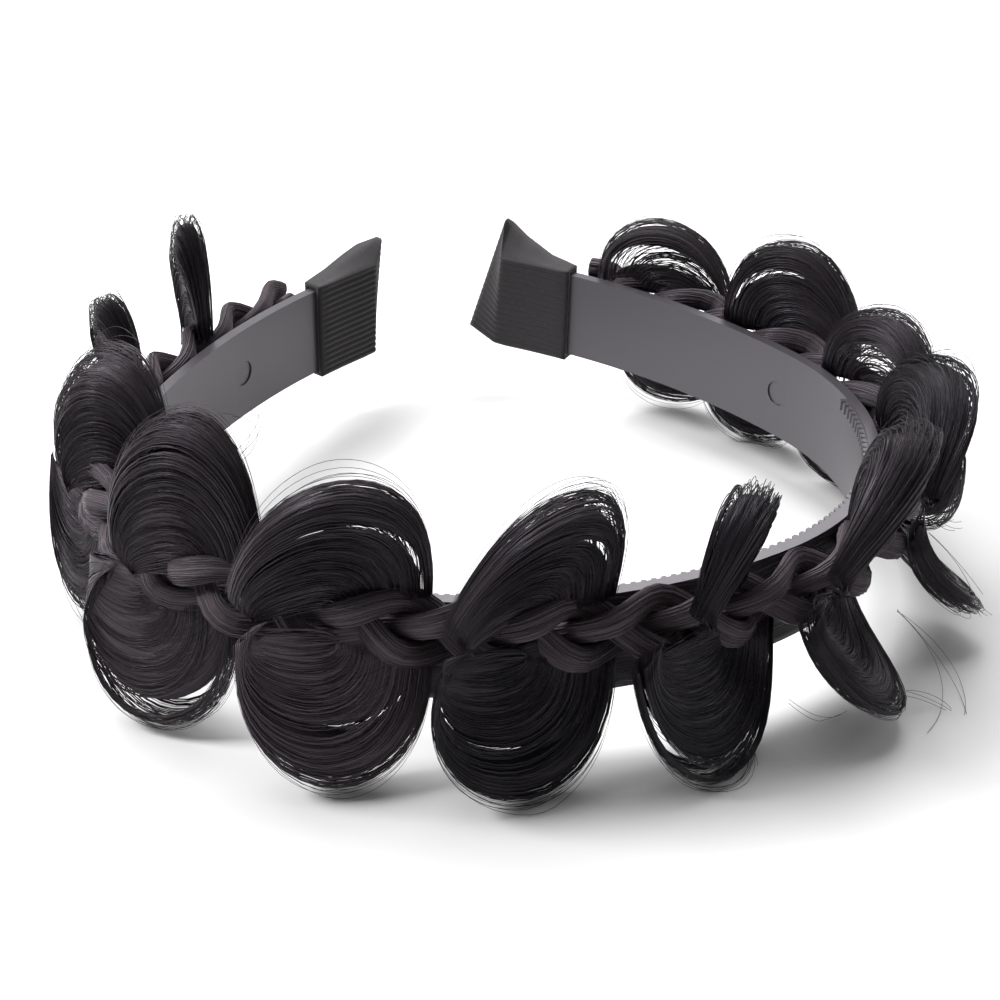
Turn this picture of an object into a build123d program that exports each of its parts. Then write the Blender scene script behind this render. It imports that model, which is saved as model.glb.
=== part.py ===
from build123d import *
from itertools import pairwise
from math import atan, cos, exp, pi, radians, sin
import os

# A costume headband: a springy plastic hoop with grip teeth, a ribbon sleeve folded over each
# end, a thin three-strand hair braid along the outside, and two rows of puffed hair loops that
# leave the braid, arch over and go back into it. Lengths are in millimetres, angles in degrees.
# Z is up. The hoop lies with its crown towards -Y and its open tips towards +Y.

# Hoop: its band, and the three tangent arcs of each half, from the crown's middle to the tip
band_length = 404.0
band_width = 20.0
band_wall = 2.2
crown_radius = 97.0
temple_radius = 52.0
arm_radius = 148.0
crown_share = 0.21
temple_share = 0.41

# Grip teeth inside the band's upper edge, and the round mould marks on its inner face
tooth_pitch = 1.9
tooth_reach = 1.1
tooth_height = 2.2
tooth_setback = 0.5
toothed_share = 0.52
mark_diameter = 5.5
mark_depth = 0.3
mark_shares = (0.63, -0.79)

# Ribbon sleeves. The crease along the outer ply lies at crease_share of the snug half height.
sleeve_cover = 17.0
ribbon_wall = 1.0
crease_share = 0.2
fit_gap = 0.15

# Braid: one strand's section, its path and its facets. Its middle runs braid_rise above the
# band's, and climbs higher by crest_rise around crest_share of half the band.
strand_width = 5.1
strand_thickness = 3.4
crossing_gap = 1.2
braid_period = 40.0
braid_rise = 5.0
crest_rise = 3.5
crest_share = -0.25
crest_spread = 0.25
weave_share = 0.92
strand_side_count = 6
rings_per_period = 10
piece_gap = 0.3

# Hair loops: the sizes that the two tables take their shares of, how the arch rounds off, and a
# loop's thickness at its heart as a share of that at its rim
loop_rise = 30.0
loop_splay = 10.0
loop_thickness = 8.5
root_thickness = 3.0
root_height = 3.4
tie_gap = 0.8
swell_share = 0.14
arch_power = 0.85
heart_share = 0.3
start_share = 0.035
loop_ring_count = 9

# A grip tooth's outline: share of tooth_pitch along the band, share of tooth_reach
TOOTH_OUTLINE = ((-0.5, 0.0), (-0.2, 1.0), (0.2, 1.0))

# One row for each loop, named by its row and number from the left tip. along: the middle of its
# two roots, as a share of half the band. span: between the roots, of loop_pitch. turn: of the
# span away from the band. rise: of loop_rise. splay: outwards at the top, of loop_splay.
# lean: of the top along the band, of loop_pitch. plump: of loop_thickness.
LOOP_COLUMNS = ("along", "span", "turn", "rise", "splay", "lean", "plump")
UPPER_LOOPS = (
    (-0.770, 0.30, 62, 0.82, 0.10, 0.02, 0.85),
    (-0.636, 0.32, 62, 0.63, 0.20, 0.06, 0.95),
    (-0.503, 0.94, 12, 0.66, -0.42, 0.10, 1.90),
    (-0.300, 0.68, 14, 0.80, -0.20, -0.10, 1.30),
    (-0.180, 0.86, 10, 0.69, 0.20, 0.00, 1.00),
    (-0.031, 0.80, 8, 0.71, 0.30, 0.10, 1.00),
    (0.118, 0.42, 32, 0.65, 0.30, 0.06, 1.25),
    (0.245, 0.56, 34, 0.66, 0.40, 0.26, 1.40),
    (0.415, 0.78, 12, 0.54, 0.55, 0.02, 1.50),
    (0.535, 0.70, 12, 0.44, 0.45, 0.00, 1.05),
    (0.662, 0.86, 12, 0.58, 0.40, 0.00, 0.95),
    (0.825, 0.84, 8, 0.40, 0.45, 0.00, 0.90),
)
LOWER_LOOPS = (
    (-0.605, 0.60, 12, 0.50, 1.00, 0.06, 0.85),
    (-0.490, 0.64, 8, 0.69, 0.05, 0.00, 0.95),
    (-0.335, 0.80, 6, 0.76, 0.25, 0.02, 1.00),
    (-0.182, 0.88, 6, 0.77, 0.30, 0.00, 1.00),
    (-0.035, 0.92, 6, 0.73, 0.35, 0.00, 1.00),
    (0.112, 0.90, 6, 0.73, 0.50, 0.00, 1.00),
    (0.240, 0.40, 10, 0.62, 1.00, 0.15, 1.10),
    (0.370, 0.36, 0, 0.54, 1.35, 0.02, 1.00),
    (0.475, 0.44, 30, 0.50, 0.45, 0.02, 0.75),
    (0.575, 0.66, 8, 0.71, 0.60, 0.00, 0.85),
    (0.695, 0.72, 6, 0.70, 0.50, 0.00, 0.85),
    (0.805, 0.76, 6, 0.64, 0.45, 0.00, 0.85),
)

# A loop's section at each turn of its fibres: share of the way out to the rim, and share of the
# half thickness there
LOOP_SECTION = (
    (0.02, 0.00),
    (0.40, -0.70),
    (0.75, -1.00),
    (0.95, -0.75),
    (1.00, 0.00),
    (0.95, 0.75),
    (0.75, 1.00),
    (0.40, 0.70),
)

# A sleeve's sections from its open mouth to its pinched end. reach and foot: of its upper and
# lower edge from the mouth, of sleeve_cover. upper and lower: heights of the outer ply's edges, of
# the snug half height. flare: of the outer ply's upper edge from the band, of ribbon_wall. pinch:
# share left of the snug half thickness.
SLEEVE_COLUMNS = ("reach", "foot", "upper", "lower", "flare", "pinch")
RIGHT_SLEEVE = (
    (0.00, 0.00, 1.00, 1.00, 0.0, 1.00),
    (0.40, 0.45, 1.08, 1.00, 1.0, 1.00),
    (0.80, 0.90, 1.32, 1.00, 2.6, 1.00),
    (1.02, 1.09, 1.54, 0.98, 3.4, 1.00),
    (1.08, 1.50, 1.66, 0.74, 3.4, 0.35),
)
LEFT_SLEEVE = (
    (0.00, 0.00, 1.00, 1.00, 0.0, 1.00),
    (0.40, 0.40, 1.06, 1.00, 0.8, 1.00),
    (0.80, 0.80, 1.20, 1.00, 1.6, 1.00),
    (1.05, 1.02, 1.28, 0.98, 2.0, 1.00),
    (1.34, 1.05, 1.36, 0.90, 2.0, 0.35),
)

half_length = band_length / 2
crown_run = crown_share * half_length
temple_run = temple_share * half_length
loop_pitch = band_length / (len(UPPER_LOOPS) + 1)
stack = (strand_thickness + crossing_gap) / (2 * sin(radians(60)))
spread = weave_share * strand_width
steepest = atan(2 * pi * spread / braid_period)
braid_reach = half_length - sleeve_cover - piece_gap - strand_width / 2 * sin(steepest)
braid_half_width = spread + strand_width / 2
braid_floor = band_wall + piece_gap
braid_middle = braid_floor + stack + strand_thickness / 2
braid_roof = braid_middle + stack + strand_thickness / 2


def course(along):
    """Place and heading on the band's inner face, along it from the crown's middle."""
    runs = (
        (crown_run, crown_radius),
        (temple_run, temple_radius),
        (half_length - crown_run - temple_run, arm_radius),
    )
    left = abs(along)
    x, y, heading = 0.0, 0.0, 0.0
    for run, radius in runs:
        step = min(left, run) / radius
        x += radius * (sin(heading + step) - sin(heading))
        y += radius * (cos(heading) - cos(heading + step))
        heading += step
        left -= min(left, run)
    x += left * cos(heading)
    y += left * sin(heading)
    return x, y, heading


def place(along, out, up):
    """A point by its way along the band, out from its inner face and up from its mid height."""
    x, y, heading = course(along)
    x += out * sin(heading)
    y -= out * cos(heading)
    side = 1 if along >= 0 else -1
    return Vector(side * x, y, up)


def braid_level(along):
    """Height of the braid's middle above the band's, at a way along the band."""
    return braid_rise + crest_rise * exp(-(((along / half_length - crest_share) / crest_spread) ** 2))


def band_piece(low, high, bottom, top, start=-1.0, end=1.0):
    """A stretch of band between two distances out and two heights, cut square at its ends."""
    joints = sorted(side * run for side in (-1, 1) for run in (crown_run, crown_run + temple_run))
    stops = [start * half_length]
    stops += [joint for joint in joints if start * half_length < joint < end * half_length]
    stops += [end * half_length]
    inner = [band_arc(a, b, low, bottom) for a, b in pairwise(stops)]
    outer = [band_arc(a, b, high, bottom) for a, b in pairwise(stops)]
    tips = [Line(place(stop, low, bottom), place(stop, high, bottom)) for stop in (stops[0], stops[-1])]
    return extrude(Face(Wire(inner + outer + tips)), amount=top - bottom, dir=(0, 0, 1))


def band_arc(start, end, out, up):
    return ThreePointArc(place(start, out, up), place((start + end) / 2, out, up), place(end, out, up))


def faceted_solid(rings):
    """Close a row of rings, each with as many points, into one solid of triangles."""
    faces = []
    for ring, after in pairwise(rings):
        for spot, _ in enumerate(ring):
            a, b, c, d = ring[spot - 1], ring[spot], after[spot], after[spot - 1]
            faces += [triangle(a, b, c), triangle(a, c, d)]
    for ring in (rings[0], rings[-1]):
        middle = sum(ring, Vector()) / len(ring)
        faces += [triangle(ring[spot - 1], ring[spot], middle) for spot, _ in enumerate(ring)]
    return Solid(Shell(faces))


def triangle(a, b, c):
    return Face(Wire.make_polygon([a, b, c]))


def hoop():
    """The band with its row of grip teeth and its two mould marks."""
    band = band_piece(0, band_wall, -band_width / 2, band_width / 2)
    band += Pos(0, 0, band_width / 2 - tooth_setback - tooth_height) * grip_comb()
    for share in mark_shares:
        spot = place(share * half_length, 0, 0)
        plane = Plane(origin=spot, z_dir=place(share * half_length, 1, 0) - spot)
        band -= plane * Cylinder(mark_diameter / 2, 2 * mark_depth)
    return band


def grip_comb():
    """One row of blunt teeth, on a back that runs inside the band's wall."""
    pairs = round(toothed_share * half_length / tooth_pitch)
    numbers = range(-pairs, pairs + 1)
    tips = []
    for number in numbers:
        for shift, reach in TOOTH_OUTLINE:
            tips.append(place((number + shift) * tooth_pitch, -reach * tooth_reach, 0))
    back = [place(number * tooth_pitch, band_wall / 2, 0) for number in reversed(numbers)]
    return extrude(Face(Wire.make_polygon(tips + back)), amount=tooth_height, dir=(0, 0, 1))


def sleeve(side, table):
    """A ribbon folded over one tip of the band, pinched to a seam past it."""
    cover = fit_gap + ribbon_wall
    hollow_start = (half_length - sleeve_cover - cover) / half_length
    hollow_end = (half_length + fit_gap) / half_length
    hollow = band_piece(
        -fit_gap,
        band_wall + fit_gap,
        -band_width / 2 - fit_gap,
        band_width / 2 + fit_gap,
        *sorted((side * hollow_start, side * hollow_end)),
    )
    return faceted_solid([sleeve_section(side, row) for row in table]) - hollow


def sleeve_section(side, row):
    """One closed section: the inner ply's two edges, then the outer ply from top to bottom."""
    cut = dict(zip(SLEEVE_COLUMNS, row))
    mouth = half_length - sleeve_cover
    top = side * (mouth + cut["reach"] * sleeve_cover)
    foot = side * (mouth + cut["foot"] * sleeve_cover)
    middle = band_wall / 2
    half = (middle + fit_gap + ribbon_wall) * cut["pinch"]
    snug = band_width / 2 + fit_gap + ribbon_wall
    flare = middle + cut["flare"] * ribbon_wall
    inner_top = snug if cut["pinch"] == 1 else snug * cut["upper"]
    inner_shift = 0 if cut["pinch"] == 1 else cut["flare"] * ribbon_wall
    return [
        place(foot, middle - half, -snug * cut["lower"]),
        place(top, middle - half + inner_shift, inner_top),
        place(top, flare, snug * cut["upper"]),
        place(top, flare + half, snug * cut["upper"]),
        place((top + foot) / 2, middle + half, snug * cut["lower"] * crease_share),
        place(foot, middle + half, -snug * cut["lower"]),
    ]


def braid_strand(number):
    """One strand, weaving sideways once and in and out twice in each period."""
    run = 2 * braid_reach
    count = round(run / braid_period * rings_per_period)
    rings = []
    for step in range(count + 1):
        along = run * (step / count - 0.5)
        phase = 2 * pi * (along / braid_period + number / 3)
        slant = 2 * pi * spread / braid_period * cos(phase)
        rings.append([
            strand_point(along, phase, slant, 2 * pi * (spot + 0.5) / strand_side_count)
            for spot in range(strand_side_count)
        ])
    return faceted_solid(rings)


def strand_point(along, phase, slant, angle):
    """A point on a strand's rim, in the section square to the strand's slant."""
    across = strand_width / 2 * cos(angle)
    squash = 1 / (1 + slant * slant) ** 0.5
    up = braid_level(along) + spread * sin(phase) + across * squash
    out = braid_middle + stack * sin(2 * phase) + strand_thickness / 2 * sin(angle)
    return place(along - across * slant * squash, out, up)


def hair_loop(row, side):
    """One puffed loop: fibres fan out from one root, arch over and narrow into the other."""
    shape = dict(zip(LOOP_COLUMNS, row))
    rings = []
    for step in range(loop_ring_count):
        turn = pi * (start_share + (1 - 2 * start_share) * step / (loop_ring_count - 1))
        rings.append([loop_point(shape, side, turn, rim, thick) for rim, thick in LOOP_SECTION])
    return faceted_solid(rings)


def loop_point(shape, side, turn, rim, thick):
    """A point of a loop, by the turn of its fibres, its way out to the rim and across it."""
    height = sin(turn)
    way = -cos(turn)
    half_span = shape["span"] * loop_pitch / 2
    reach = way * half_span * (1 + swell_share * rim * height)
    fan = height * (heart_share + (1 - heart_share) * rim)
    bulk = root_thickness + (shape["plump"] * loop_thickness - root_thickness) * fan
    across = thick * bulk / 2
    twist = radians(shape["turn"])
    root_out, root_up = loop_root(side, (1 - way) / 2, half_span * sin(twist))
    along = shape["along"] * half_length + shape["lean"] * loop_pitch * rim * height
    along += reach * cos(twist) + across * sin(twist)
    out = root_out + shape["splay"] * loop_splay * rim * height**2 - reach * sin(twist) + across * cos(twist)
    up = root_up + root_height * rim * (1 - height) + shape["rise"] * loop_rise * rim * height**arch_power
    return place(along, out, braid_level(shape["along"] * half_length) + side * up)


def loop_root(side, left, swing):
    """Out and up of the line between a loop's roots, from behind the braid's edge to its front.

    left is 1 at the root on the braid's front. Lower loops stand further out than upper ones.
    """
    tucked = braid_floor + root_thickness / 2 + swing
    front = braid_roof + piece_gap + root_thickness / 2 + swing
    level = braid_half_width + piece_gap
    up = level - (level - tie_gap / 2) * left**3
    if side > 0:
        return tucked + max(0, front - tucked - 2 * swing) * left**2, up
    return tucked + (front - tucked) * left, up


def all_pieces():
    pieces = {"hoop": hoop(), "ribbon_left": sleeve(-1, LEFT_SLEEVE), "ribbon_right": sleeve(1, RIGHT_SLEEVE)}
    for number in range(3):
        pieces[f"braid_strand_{number + 1}"] = braid_strand(number)
    for label, table, side in (("upper", UPPER_LOOPS, 1), ("lower", LOWER_LOOPS, -1)):
        for number, row in enumerate(table, 1):
            pieces[f"{label}_loop_{number:02d}"] = hair_loop(row, side)
    return pieces


def main():
    pieces = all_pieces()
    box = Compound(list(pieces.values())).bounding_box()
    base = Pos(-(box.min.X + box.max.X) / 2, -(box.min.Y + box.max.Y) / 2, -box.min.Z)
    os.makedirs("parts", exist_ok=True)
    for name, piece in pieces.items():
        export_step(base * piece, f"parts/{name}.step")


if __name__ == "__main__":
    main()
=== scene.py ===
from math import cos, pi, radians, sin

import bpy
import numpy as np
from bpy.props import FloatProperty, FloatVectorProperty, IntProperty, PointerProperty
from mathutils import Matrix, Vector


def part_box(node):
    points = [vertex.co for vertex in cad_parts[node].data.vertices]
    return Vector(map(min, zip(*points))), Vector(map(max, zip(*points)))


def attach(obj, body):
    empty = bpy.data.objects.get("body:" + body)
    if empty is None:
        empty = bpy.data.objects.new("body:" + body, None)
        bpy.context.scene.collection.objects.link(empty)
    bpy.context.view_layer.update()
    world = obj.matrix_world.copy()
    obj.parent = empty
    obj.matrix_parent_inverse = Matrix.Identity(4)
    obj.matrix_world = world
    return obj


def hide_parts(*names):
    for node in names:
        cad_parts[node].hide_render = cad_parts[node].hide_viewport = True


bl_info = {
    "name": "Braided Hair Headband",
    "version": (1, 0, 0),
    "blender": (4, 5, 0),
    "location": "3D View > Sidebar > Headband",
    "description": "Dresses the headband's solids in hair fibres, ribbed ribbon and satin plastic",
    "category": "Object",
}

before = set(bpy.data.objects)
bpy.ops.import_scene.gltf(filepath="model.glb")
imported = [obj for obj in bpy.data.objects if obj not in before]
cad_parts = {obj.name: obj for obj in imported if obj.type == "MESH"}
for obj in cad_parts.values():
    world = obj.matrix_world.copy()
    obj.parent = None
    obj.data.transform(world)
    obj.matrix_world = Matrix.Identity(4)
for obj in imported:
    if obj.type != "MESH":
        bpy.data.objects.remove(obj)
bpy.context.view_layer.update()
MM = 0.001

# The hoop, in millimetres: its band and the three tangent arcs of each half
BAND_LENGTH = 404.0
BAND_WIDTH = 20.0
BAND_WALL = 2.2
HALF_LENGTH = BAND_LENGTH / 2
CROWN_RUN = 0.21 * HALF_LENGTH
TEMPLE_RUN = 0.41 * HALF_LENGTH
ARCS = ((CROWN_RUN, 97.0), (TEMPLE_RUN, 52.0), (HALF_LENGTH - CROWN_RUN - TEMPLE_RUN, 148.0))

# Ribbon sleeves, in millimetres
SLEEVE_COVER = 17.0
RIBBON_WALL = 1.0
CREASE_SHARE = 0.2
FIT_GAP = 0.15

# Braid: one strand's section and its path. A slanted strand's square end reaches past its middle.
STRAND_WIDTH = 5.1
STRAND_THICKNESS = 3.4
CROSSING_GAP = 1.2
BRAID_PERIOD = 40.0
BRAID_RISE = 5.0
CREST_RISE = 3.5
CREST_SHARE = -0.25
CREST_SPREAD = 0.25
SPREAD = 0.92 * STRAND_WIDTH
PIECE_GAP = 0.3
STACK = (STRAND_THICKNESS + CROSSING_GAP) / (2 * sin(radians(60)))
BRAID_HALF_WIDTH = SPREAD + STRAND_WIDTH / 2
BRAID_FLOOR = BAND_WALL + PIECE_GAP
BRAID_MIDDLE = BRAID_FLOOR + STACK + STRAND_THICKNESS / 2
BRAID_ROOF = BRAID_MIDDLE + STACK + STRAND_THICKNESS / 2
STRAND_OVERREACH = 1.5
BRAID_REACH = HALF_LENGTH - SLEEVE_COVER - PIECE_GAP - STRAND_OVERREACH

# A strand's dense core and its covering fibres: steps in a period, sides, the core's share of the
# section, and how slowly the fibres wind round it and sway
STRAND_STEPS = 20
STRAND_SIDES = 14
STRAND_CORE_SHARE = 0.95
WIND_LENGTH = 260.0
WIND_SWAY = 0.12
WIND_SWAY_LENGTH = 9.0
STRAND_DEPTHS = (0.92, 0.98)
STRAND_RIPPLE = 0.02
STRAND_RIPPLE_LENGTH = 5.0

# The thin layer tucked behind the braid: where it starts and ends, as shares of half the band, how
# far it keeps from the band's edges, how ragged its own are, how far it is off the band, and how
# thick it is at least
TUCKED_SPAN = (-0.56, 0.86)
TUCKED_SETBACK = 0.6
TUCKED_RAGGEDNESS = 0.35
TUCKED_CLEARANCE = 0.02
TUCKED_LEAST = 0.03

# Hair loops: the sizes that the two tables take their shares of, and how the arch rounds off
LOOP_RISE = 30.0
LOOP_SPLAY = 10.0
LOOP_THICKNESS = 8.5
ROOT_THICKNESS = 3.0
ROOT_HEIGHT = 3.4
TIE_GAP = 0.8
SWELL_SHARE = 0.14
ARCH_POWER = 0.85
HEART_SHARE = 0.3
PITCH_COUNT = 13
LOOP_PITCH = BAND_LENGTH / PITCH_COUNT

# How a loop's hair meets the braid. It starts in a bundle at the left root, where a lower loop laps
# over the braid. At the right one it tucks in, and the innermost fibres and dense layers end short of
# it by their early share of the span. The higher a haste, the nearer to its root it all happens.
BUNDLE_WIDTH = 5.0
BUNDLE_HASTE = 8
LAP = 4.0
LAP_INSET = 1.0
TUCK_DEPTH = 4.5
TUCK_HASTE = 4
FIBRE_EARLY_SHARE = 0.50
CORE_EARLY_SHARE = 0.15

# Hair that would reach the floor stays this far above it, and moves outwards by this share of what
# it is held up
FLOOR_GAP = 0.1
FLOOR_SPILL = 1.5

# A loop's dense layers: how much of its half turn they take, their share of its thickness, how
# narrow they start and how fast they widen, and how bluntly their ends and edges close
CORE_RUN = (0.075, 0.985)
CORE_COVER = 0.88
CORE_START = 0.4
CORE_WIDENING = 2.4
CORE_END_POWER = 0.3
CORE_EDGE_POWER = 0.4

# A loop's fibres: how much of its half turn they take, their steps and sides. A few are the fringe,
# which lies loose about the rim. The rest cover its two faces, from the heart out, in the outermost
# share of its thickness. Few of them stay in a slot.
FIBRE_RUN = (0.02, 0.985)
FIBRE_STEPS = 19
FIBRE_SIDES = 3
FACE_DEPTH = 0.14
FACE_WIDTHS = (0.7, 1.3)
FACE_LOOSENESS = 0.014
UPPER_HEART = -0.15
LOWER_HEART = -0.3
SLOT_CLEARING = 0.85
FRINGE_SHARE = 0.14
FRINGE_RIM = 0.985
FRINGE_SPREAD = 0.030
FRINGE_DEPTH = 1.1
FRINGE_WIDTHS = (0.5, 0.9)
FRINGE_LOOSENESS = 0.022

# A loop's stray hairs, beyond its rim, and how the ways of all its loose hairs differ
STRAY_RIM = 1.02
STRAY_SPREAD = 0.05
STRAY_DEPTH = 0.7
STRAY_LOOSENESS = 0.03
STRAY_STEPS = 29
WAVE_TURNS = (1.0, 2.8)
SWAY_TURNS = (1.0, 2.4)
SWAY_SHARE = 3
TIP_WIDTH = 0.45

# One row for each loop, from the left tip. along: the middle of its two roots, as a share of half
# the band. span: between the roots, of the pitch. turn: degrees of the span away from the band.
# rise, splay, lean and plump: of the loop sizes above. fibres: share of the usual number. cores:
# the dense layers, as ways out to the rim; the fibres between them are thin enough to see through.
LOOP_COLUMNS = ("along", "span", "turn", "rise", "splay", "lean", "plump", "fibres", "cores")
SOLID_CORE = ((-0.10, 0.93),)
UPPER_LOOPS = (
    (-0.770, 0.30, 62, 0.82, 0.10, 0.02, 0.85, 0.8, ((-0.10, 0.94),)),
    (-0.636, 0.32, 62, 0.63, 0.20, 0.06, 0.95, 0.8, ((-0.10, 0.95),)),
    (-0.503, 0.94, 12, 0.66, -0.42, 0.10, 1.90, 1.2, ((-0.10, 0.90),)),
    (-0.300, 0.68, 14, 0.80, -0.20, -0.10, 1.30, 1.5, ((-0.10, 0.82), (0.86, 0.95))),
    (-0.180, 0.86, 10, 0.69, 0.20, 0.00, 1.00, 1.4, ((-0.10, 0.56), (0.68, 0.94))),
    (-0.031, 0.80, 8, 0.71, 0.30, 0.10, 1.00, 1.4, ((-0.10, 0.56), (0.63, 0.84))),
    (0.118, 0.42, 32, 0.65, 0.30, 0.06, 1.25, 1.1, ((-0.10, 0.90),)),
    (0.245, 0.56, 34, 0.66, 0.40, 0.26, 1.40, 1.3, SOLID_CORE),
    (0.415, 0.78, 12, 0.54, 0.55, 0.02, 1.50, 1.3, SOLID_CORE),
    (0.535, 0.70, 12, 0.44, 0.45, 0.00, 1.05, 0.9, ((-0.10, 0.12), (0.50, 0.90))),
    (0.662, 0.86, 12, 0.58, 0.40, 0.00, 0.95, 1.0, ((-0.10, 0.60), (0.70, 0.93))),
    (0.825, 0.84, 8, 0.40, 0.45, 0.00, 0.90, 0.8, ((-0.10, 0.24), (0.62, 0.90))),
)
LOWER_LOOPS = (
    (-0.605, 0.60, 12, 0.50, 1.00, 0.06, 0.85, 0.7, ((0.50, 0.88),)),
    (-0.490, 0.64, 8, 0.69, 0.05, 0.00, 0.95, 0.8, ((-0.35, 0.40), (0.55, 0.88))),
    (-0.335, 0.80, 6, 0.76, 0.25, 0.02, 1.00, 1.2, ((-0.35, 0.80),)),
    (-0.182, 0.88, 6, 0.77, 0.30, 0.00, 1.00, 1.3, ((-0.35, 0.50), (0.58, 0.92))),
    (-0.035, 0.92, 6, 0.73, 0.35, 0.00, 1.00, 1.3, ((-0.35, 0.56), (0.66, 0.93))),
    (0.112, 0.90, 6, 0.73, 0.50, 0.00, 1.00, 1.2, ((-0.35, 0.80),)),
    (0.240, 0.40, 10, 0.62, 1.00, 0.15, 1.10, 1.0, SOLID_CORE),
    (0.370, 0.36, 0, 0.54, 1.35, 0.02, 1.00, 0.9, SOLID_CORE),
    (0.475, 0.44, 30, 0.50, 0.45, 0.02, 0.75, 0.6, ((-0.10, 0.80),)),
    (0.575, 0.66, 8, 0.71, 0.60, 0.00, 0.85, 0.8, ((-0.35, 0.93),)),
    (0.695, 0.72, 6, 0.70, 0.50, 0.00, 0.85, 0.8, ((-0.35, 0.93),)),
    (0.805, 0.76, 6, 0.64, 0.45, 0.00, 0.85, 0.8, ((-0.35, 0.93),)),
)

# What is special to a few loops, besides new values for the columns above. stand: the share of
# their swing by which they keep out from the band. forward: how far the left root comes to the
# braid's front. tie: millimetres by which the hair is tied off to the right of its left root, and
# how soon it is back from there. slot: ways out to the rim between which few fibres run, so that
# the background shows. The last is painted light and shade: how much lighter or darker a loop's
# light fibres are made, as the loop stands in the light or in shade.
USUAL_SHAPE = {"stand": 1.0, "forward": 1.0, "tie": (0.0, 1), "slot": (0.0, 0.0), "tone_and_painted_light": 1.0}
OWN_SHAPES = {
    ("upper", 3): {"along": -0.465, "span": 0.62, "turn": 58, "stand": -0.20, "forward": 0.15, "rise": 0.67,
                   "splay": 0.00, "lean": -0.25, "plump": 1.80, "tone_and_painted_light": 1.4},
    ("upper", 4): {"tone_and_painted_light": 1.5},
    ("upper", 5): {"slot": (0.585, 0.645), "tone_and_painted_light": 1.3},
    ("upper", 7): {"tone_and_painted_light": 0.3},
    ("upper", 8): {"tone_and_painted_light": 0.8},
    ("upper", 9): {"tone_and_painted_light": 0.2},
    ("lower", 3): {"along": -0.345, "span": 0.84, "tie": (11.0, 5), "slot": (0.76, 0.90), "tone_and_painted_light": 2.0},
    ("lower", 4): {"tie": (3.0, 7), "slot": (0.53, 0.565), "tone_and_painted_light": 3.1},
    ("lower", 5): {"along": -0.042, "span": 0.98, "tie": (5.5, 8), "slot": (0.60, 0.64), "tone_and_painted_light": 0.4},
    ("lower", 6): {"slot": (0.82, 0.93), "tone_and_painted_light": 0.4},
    ("lower", 7): {"along": 0.224, "span": 0.60, "rise": 0.57, "plump": 1.40},
    ("lower", 8): {"span": 0.50, "rise": 0.50, "plump": 1.30},
}

# Long single hairs. along: where they leave, as a share of half the band. out and up: from the
# band, in millimetres. heading: degrees from straight out, and curl: how much it turns. climb: how
# far they rise.
WISP_COLUMNS = ("along", "out", "up", "heading", "curl", "length", "climb", "count")
WISPS = (
    (0.335, 10.0, -14.0, 5, -70, 22.0, -9.0, 3),
    (0.270, 20.0, -19.0, 60, -100, 8.0, -3.0, 3),
    (0.190, 9.0, -17.0, 60, 40, 12.0, -6.0, 2),
    (0.460, 12.0, -5.0, -30, 60, 10.0, -8.0, 5),
    (0.450, 13.0, 2.0, -50, 150, 12.0, -8.0, 3),
    (0.370, 22.0, -12.0, 20, -60, 5.0, -5.0, 4),
    (0.400, 13.0, -6.0, -10, -50, 14.0, -6.0, 2),
    (-0.290, 4.0, 30.0, 70, 240, 14.0, 8.0, 4),
    (-0.245, 15.0, 9.0, 85, -10, 15.0, 9.0, 1),
    (0.120, 13.0, -12.0, 40, -60, 7.0, -6.0, 2),
)
WISP_STEPS = 33

# How the half thickness of a loop changes on the way out to its rim
PROFILE_RIM = (-0.40, 0.05, 0.40, 0.75, 0.95, 1.00)
PROFILE_THICK = (0.08, 0.20, 0.70, 1.00, 0.75, 0.35)

# A sleeve's sections from its open mouth to its pinched end, as shares of the sizes above
SLEEVE_COLUMNS = ("reach", "foot", "upper", "lower", "flare", "pinch")
RIGHT_SLEEVE = (
    (0.00, 0.00, 1.00, 1.00, 0.0, 1.00),
    (0.40, 0.45, 1.08, 1.00, 1.0, 1.00),
    (0.80, 0.90, 1.32, 1.00, 2.6, 1.00),
    (1.02, 1.09, 1.54, 0.98, 3.4, 1.00),
    (1.08, 1.50, 1.66, 0.74, 3.4, 0.35),
)
LEFT_SLEEVE = (
    (0.00, 0.00, 1.00, 1.00, 0.0, 1.00),
    (0.40, 0.40, 1.06, 1.00, 0.8, 1.00),
    (0.80, 0.80, 1.20, 1.00, 1.6, 1.00),
    (1.05, 1.02, 1.28, 0.98, 2.0, 1.00),
    (1.34, 1.05, 1.36, 0.90, 2.0, 0.35),
)

# The pinch that closes a sleeve's end, its sections, how full its ribs are, and the plain hem at its
# mouth, past which the ribs fade in
FULL_PINCH = 0.65
SLEEVE_STEPS = 30
RIB_POWER = 0.6
HEM_WIDTH = 0.9
HEM_FADE = 0.4

# The camera stood this far from a point inside the hoop. Lengths are in millimetres from the band's
# origin, angles in radians.
VIEW_TARGET = (0.0, 67.82, 0.0)
VIEW_DISTANCE = 367.1
VIEW_OFFSET = (1.72, -10.74)
VIEW_PITCH = 0.543
VIEW_YAW = 0.208
VIEW_ROLL = -0.025

# The floor's size and height, and one row for each softbox: its name, its place, what it faces, its
# two sides, all in metres, and the setting for its power
FLOOR_SIZE = 6.0
FLOOR_LEVEL = -0.0002
SOFTBOXES = (
    ("softbox_overhead", (-0.1, 0.4, 1.3), (0.0, 0.0, 0.0), (1.1, 0.9), "key_power"),
    ("softbox_left", (-0.9, 0.15, 0.9), (0.0, 0.0, 0.02), (0.42, 0.42), "side_power"),
    ("softbox_back", (0.0, 0.55, 0.55), (0.0, 0.45, 0.0), (1.0, 0.5), "back_power"),
    ("softbox_right", (1.2, -0.1, 0.75), (0.0, 0.0, 0.02), (0.6, 0.6), "fill_power"),
)

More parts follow.
